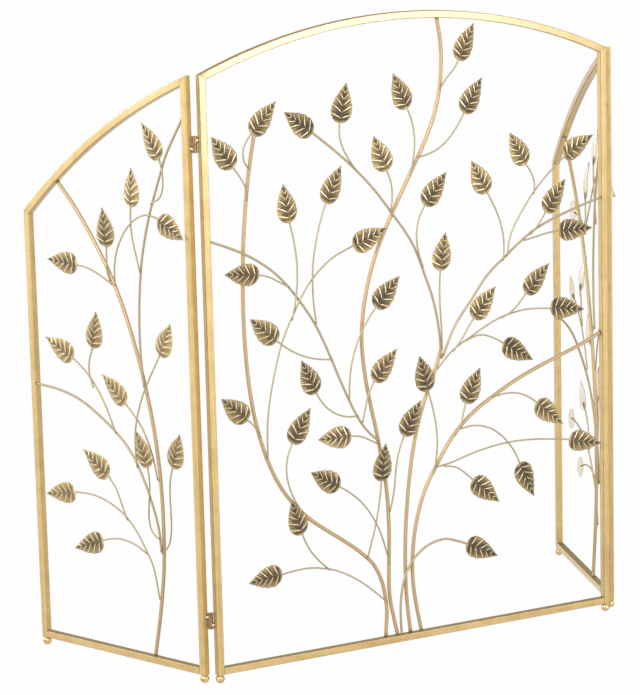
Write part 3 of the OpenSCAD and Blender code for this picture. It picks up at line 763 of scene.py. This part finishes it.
def leaf_shape():
    """One pressed leaf, base at the origin, tip up, front towards -Y."""
    bm = bmesh.new()
    across, along = LEAF_GRID
    bmesh.ops.create_grid(bm, x_segments=across, y_segments=along, size=1.0)
    relief = bm.verts.layers.float.new("relief")
    for vert in bm.verts:
        s, m = vert.co.x, (vert.co.y + 1) / 2  # across from -1 to 1, along from 0 to 1
        edge = abs(s)
        # A line across the grid climbs from mid at the midrib to edge_t at the edge.
        mid = m ** 1.15
        edge_t = mid + VEIN_CLIMB * math.sin(math.pi * mid ** 0.8)
        t = mid + (edge_t - mid) * edge ** 0.85
        wave = math.cos(math.pi * VEINS * m)
        vein = (0.5 + 0.5 * wave) ** VEIN_SHARPNESS
        streak = (0.5 + 0.5 * math.cos(math.pi * VEINS * STREAKS * m)) ** 3 * (1 - vein)
        fade = min(1.0, m * 7) * min(1.0, (1 - m) * 9)
        half = LEAF_WIDTH / 2 * leaf_outline(edge_t)
        teeth = TOOTH * wave + SMALL_TOOTH * math.sin(math.pi * VEINS * 3 * m)
        x = s * max(half + teeth * fade, 0.0)
        rib = math.exp(-((x / RIB_HALF) ** 2)) * (1 - t)
        reach = min(1.0, edge * 4 + 0.2)
        y = (
            -FACE_OUT
            - LEAF_CURL * t * t
            + EDGE_BACK * edge ** 1.3
            - (VEIN_RISE * vein + STREAK_RISE * streak) * fade * reach
            - HOLLOW * math.sin(math.pi * edge) * fade * (1 - vein)
            + HOLLOW * (1 - wave) * fade * reach * (1 - edge ** 4)
            - RIB_RISE * rib
        )
        side = RUBBED_FIELD + RUBBED_STREAK * streak + RUBBED_SIDE * edge ** 1.6
        rubbed = max(
            vein * reach * fade,
            RUBBED_RIB * rib,
            RUBBED_RIM * edge ** 7,
            RUBBED_BASE * (1 - m * 9),
            RUBBED_TIP * (m * 7 - 6),
            side * fade,
        )
        vert[relief] = max(0.0, min(1.0, rubbed))
        vert.co = Vector((x, y, LEAF_LENGTH * t))
    bmesh.ops.remove_doubles(bm, verts=bm.verts, dist=SAME_LEAF_PLACE)
    for face in bm.faces:
        face.smooth = True
    bmesh.ops.recalc_face_normals(bm, faces=bm.faces)
    if sum(f.normal.y for f in bm.faces) > 0:
        bmesh.ops.reverse_faces(bm, faces=bm.faces)
    return bm


leaf_master = bpy.data.meshes.new("leaf_master")
shape = leaf_shape()
shape.to_mesh(leaf_master)
shape.free()


def leaf_place(points, back):
    """Matrix that stands the master leaf where a CAD leaf, given by its points, is."""
    a, b = max(
        ((p, q) for i, p in enumerate(points) for q in points[i + 1:]),
        key=lambda pair: (pair[0] - pair[1]).length_squared,
    )
    base, tip = (a, b) if a.dot(back) > b.dot(back) else (b, a)
    up = tip - base
    up -= back * up.dot(back)
    up.normalize()
    origin = base + back * BASE_SETBACK
    across = back.cross(up)
    return Matrix.Translation(origin) @ Matrix((across, back, up)).transposed().to_4x4()


def dress_leaves(node):
    """Pressed leaves with veins, teeth and thickness in place of a node's leaves."""
    along, back = axes[body_of_node[node]]
    source = copy_of(node)
    whole = bmesh.new()
    whole.verts.layers.float.new("relief")
    tone = whole.verts.layers.float.new("tone")
    moods = random.Random(node)
    for solid in islands(source):
        place = leaf_place([v.co.copy() for v in solid], back)
        lean = Matrix.Rotation(moods.uniform(-LEAN, LEAN), 4, "Z")
        nod = Matrix.Rotation(moods.uniform(-NOD, 0.0), 4, "X")
        first = len(whole.verts)
        whole.from_mesh(leaf_master)
        whole.verts.ensure_lookup_table()
        fresh = whole.verts[first:]
        mood = moods.uniform(DULLEST, BRIGHTEST)
        # Painted light: the wings' leaves get a brighter tone, for the light they catch.
        if not node.startswith("centre"):
            mood += WING_PAINTED_LIGHT
        for vert in fresh:
            vert[tone] = mood
        bmesh.ops.transform(whole, matrix=place @ (lean @ nod), verts=fresh)
    source.free()
    lay = whole.loops.layers.uv.new("lay")
    for face in whole.faces:
        for loop in face.loops:
            co = loop.vert.co
            loop[lay].uv = (co.dot(along), co.z)
    piece = finish_piece(whole, f"{node}_pressed", node, [leaf_gold, leaf_back])
    sheet = piece.modifiers.new("sheet thickness", "SOLIDIFY")
    sheet.thickness = LEAF_SHEET
    sheet.offset = 0.0
    sheet.material_offset = 1


# ---------------------------------------------------------------- hinges and feet


TURNED_CREASE = 40  # degrees
BARREL_CREASE = 30
EASED = 0.00025  # bevel of a turned part's rims
BARREL_STEPS = 40
BARREL_EASE = 0.0004  # chamfer at a barrel's ends
RING_DEPTH = 0.00035
RING_SHARES = (0.2, 0.4, 0.6, 0.8)  # of a barrel's height
PIN_PLAY = 0.00005
POST_CLOSE = 1e-4  # what of a knuckle is nearer than this to its post is its seat
NUGGET, SHADE_SPOT = 1, 2  # paint slots of a knuckle piece, after the barrel's paint
# Half width, half length and height of the weld nugget and of the dark spots of painted shade, and
# where they lie.
NUGGET_SIZE = (0.0021, 0.0021, 0.0024)
NUGGET_STEP = 0.0014  # from the post
SPOT_SIZE = (0.0012, 0.0013, 0.0006)
SPOT_STEP = 0.0001
SPOT_RISE = 0.0030  # above and below the knuckle's middle


def dress_turned(node, name, material):
    """Turned or round part: the CAD shape as one smooth skin with crisp rims."""
    bm = copy_of(node)
    lay = bm.loops.layers.uv.new("lay")
    for face in bm.faces:
        face.smooth = True
        lay_plain(face, lay)
    piece = finish_piece(bm, name, node, [material])
    piece.data.set_sharp_from_angle(angle=math.radians(TURNED_CREASE))
    soft = piece.modifiers.new("eased rims", "BEVEL")
    soft.width = EASED
    soft.segments = 2
    soft.limit_method = "ANGLE"
    soft.angle_limit = math.radians(TURNED_CREASE)


def knuckle_barrel(bm, pin, low, high, radius, bore):
    """Ringed barrel round the pin: its profile spun about the hinge line."""
    outside = [(bore, low), (radius - BARREL_EASE, low), (radius, low + BARREL_EASE)]
    for share in RING_SHARES:
        z = low + (high - low) * share
        outside += [(radius, z - RING_DEPTH), (radius - RING_DEPTH, z), (radius, z + RING_DEPTH)]
    outside += [(radius, high - BARREL_EASE), (radius - BARREL_EASE, high), (bore, high)]
    verts = [bm.verts.new((pin.x + r, pin.y, z)) for r, z in outside]
    edges = [bm.edges.new((a, b)) for a, b in zip(verts, verts[1:] + verts[:1])]
    first = set(bm.faces)
    bmesh.ops.spin(
        bm, geom=verts + edges, cent=(pin.x, pin.y, 0), axis=UP,
        angle=math.tau, steps=BARREL_STEPS, use_merge=True,
    )
    return [face for face in bm.faces if face not in first]


def dress_knuckles(node):
    """Hinge knuckles: ringed barrels, each with a weld nugget painted pale as a highlight, and two
    dark spots of painted shade on its post.
    """
    body = body_of_node[node]
    along, back = axes[body]
    side = node.split("_")[0]
    towards = along
    if body == "centre_panel" and side == "right":
        towards = -along
    pin = middle_of(f"{side}_hinge_pins")
    pin_low, pin_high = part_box(f"{side}_hinge_pins")
    bore = (pin_high.x - pin_low.x) / 2 + PIN_PLAY
    source = copy_of(node)
    bm = bmesh.new()
    lay = bm.loops.layers.uv.new("lay")
    for number, solid in enumerate(islands(source)):
        low, high = min(v.co.z for v in solid), max(v.co.z for v in solid)
        at_post = max(v.co.dot(towards) for v in solid)
        radius = pin.dot(towards) - min(v.co.dot(towards) for v in solid)
        for face in knuckle_barrel(bm, pin, low, high, radius, bore):
            for loop in face.loops:
                out = loop.vert.co - pin
                loop[lay].uv = (math.atan2(out.y, out.x) * radius, loop.vert.co.z)
        seat = [v.co for v in solid if v.co.dot(towards) > at_post - POST_CLOSE]
        backs = [co.dot(back) for co in seat]
        heights = [co.z for co in seat]
        place = towards * at_post + back * (min(backs) + max(backs)) / 2
        place.z = (min(heights) + max(heights)) / 2
        # The weld nugget's pale paint is a painted highlight.
        nugget = place - towards * NUGGET_STEP
        add_bead(bm, nugget, -back, UP, *NUGGET_SIZE, NUGGET, f"{node} nugget {number}")
        # Dark spots of painted shade, above and below the knuckle's middle.
        for up in (-1, 1):
            spot = place + UP * up * SPOT_RISE - towards * SPOT_STEP
            add_bead(bm, spot, -towards, UP, *SPOT_SIZE, SHADE_SPOT, f"{node} spot {number} {up}")
    source.free()
    bmesh.ops.recalc_face_normals(bm, faces=bm.faces)
    for face in bm.faces:
        face.smooth = True
    piece = finish_piece(
        bm, f"{node}_ringed", node, [hinge_gold, nugget_highlight_gold, weld_brown]
    )
    piece.data.set_sharp_from_angle(angle=math.radians(BARREL_CREASE))


for node in sorted(nodes):
    if node.endswith(("_post", "_rail")):
        dress_tube(node)
    elif node.endswith(("_stem", "_branch", "_vine", "_twigs")):
        dress_rods(node)
    elif node.endswith("_leaves"):
        dress_leaves(node)
    elif node.endswith("_feet"):
        dress_turned(node, f"{node}_balls", foot_gold)
    elif node.endswith("_knuckles"):
        dress_knuckles(node)
    else:
        dress_turned(node, f"{node}_turned", hinge_gold)
bpy.data.meshes.remove(leaf_master)


# ---------------------------------------------------------------- floor and light


FLOOR_SIZE = 45.0
FLOOR_GREY = (0.74, 0.74, 0.74, 1)
FLOOR_GLOW = 0.98  # share of plain white in what the camera and reflections see
WORLD_LIGHT = 0.30  # the world's strength as light; it is 1 where it is seen


def seen_directly(tree):
    """1 for rays from the camera, a glossy bounce or a transmission, 0 for the rest."""
    path = node_of(tree, "ShaderNodeLightPath")
    rays = path.outputs
    seen = maths(tree, "ADD", rays["Is Camera Ray"], rays["Is Glossy Ray"], clamp=True)
    return maths(tree, "ADD", seen, rays["Is Transmission Ray"], clamp=True)


def make_floor():
    """Pale floor that shows white to the camera and keeps a faint shadow."""
    bm = bmesh.new()
    bmesh.ops.create_grid(bm, x_segments=1, y_segments=1, size=FLOOR_SIZE)
    mesh = bpy.data.meshes.new("floor")
    bm.to_mesh(mesh)
    bm.free()
    floor = bpy.data.objects.new("floor", mesh)
    put_in_scene(floor)
    material, tree, shader = start_material("pale floor")
    shader.inputs["Base Color"].default_value = FLOOR_GREY
    shader.inputs["Roughness"].default_value = 0.9
    shader.inputs["Specular IOR Level"].default_value = 0.0
    glow = node_of(tree, "ShaderNodeEmission")
    glow.inputs["Strength"].default_value = 1.0
    mixed = node_of(tree, "ShaderNodeMixShader")
    link(tree, maths(tree, "MULTIPLY", seen_directly(tree), FLOOR_GLOW), mixed.inputs["Fac"])
    link(tree, shader.outputs[0], mixed.inputs[1])
    link(tree, glow.outputs[0], mixed.inputs[2])
    out = next(n for n in tree.nodes if n.type == "OUTPUT_MATERIAL")
    link(tree, mixed.outputs[0], out.inputs["Surface"])
    mesh.materials.append(material)


def make_world():
    """White to the camera and in reflections, a weaker even light for the rest."""
    world = bpy.data.worlds.new("studio")
    bpy.context.scene.world = world
    world.use_nodes = True
    tree = world.node_tree
    tree.nodes.clear()
    out = tree.nodes.new("ShaderNodeOutputWorld")
    back = node_of(tree, "ShaderNodeBackground")
    back.inputs["Color"].default_value = (1, 1, 1, 1)
    strength = ramp(tree, seen_directly(tree), 0.0, 1.0, WORLD_LIGHT, 1.0)
    link(tree, strength, back.inputs["Strength"])
    link(tree, back.outputs[0], out.inputs["Surface"])


def make_lamp(name, place, target, width, height, power):
    """Rectangular lamp that shines from a place towards a target."""
    data = bpy.data.lights.new(name, "AREA")
    data.shape = "RECTANGLE"
    data.size, data.size_y = width, height
    data.energy = power
    lamp = bpy.data.objects.new(name, data)
    lamp.location = place
    lamp.rotation_euler = (Vector(target) - Vector(place)).to_track_quat("-Z", "Y").to_euler()
    put_in_scene(lamp)


make_floor()
make_world()
make_lamp("key", (-2.9, -2.3, 2.5), (0, 0, 0.4), 1.6, 1.6, 96)
make_lamp("front strip", (1.3, -3.5, 0.60), (0, 0, 0.6), 1.8, 0.44, 38)
make_lamp("side", (-2.8, 1.7, 1.2), (0, 0, 0.4), 1.4, 1.4, 34)
bpy.context.scene.view_settings.view_transform = "Standard"
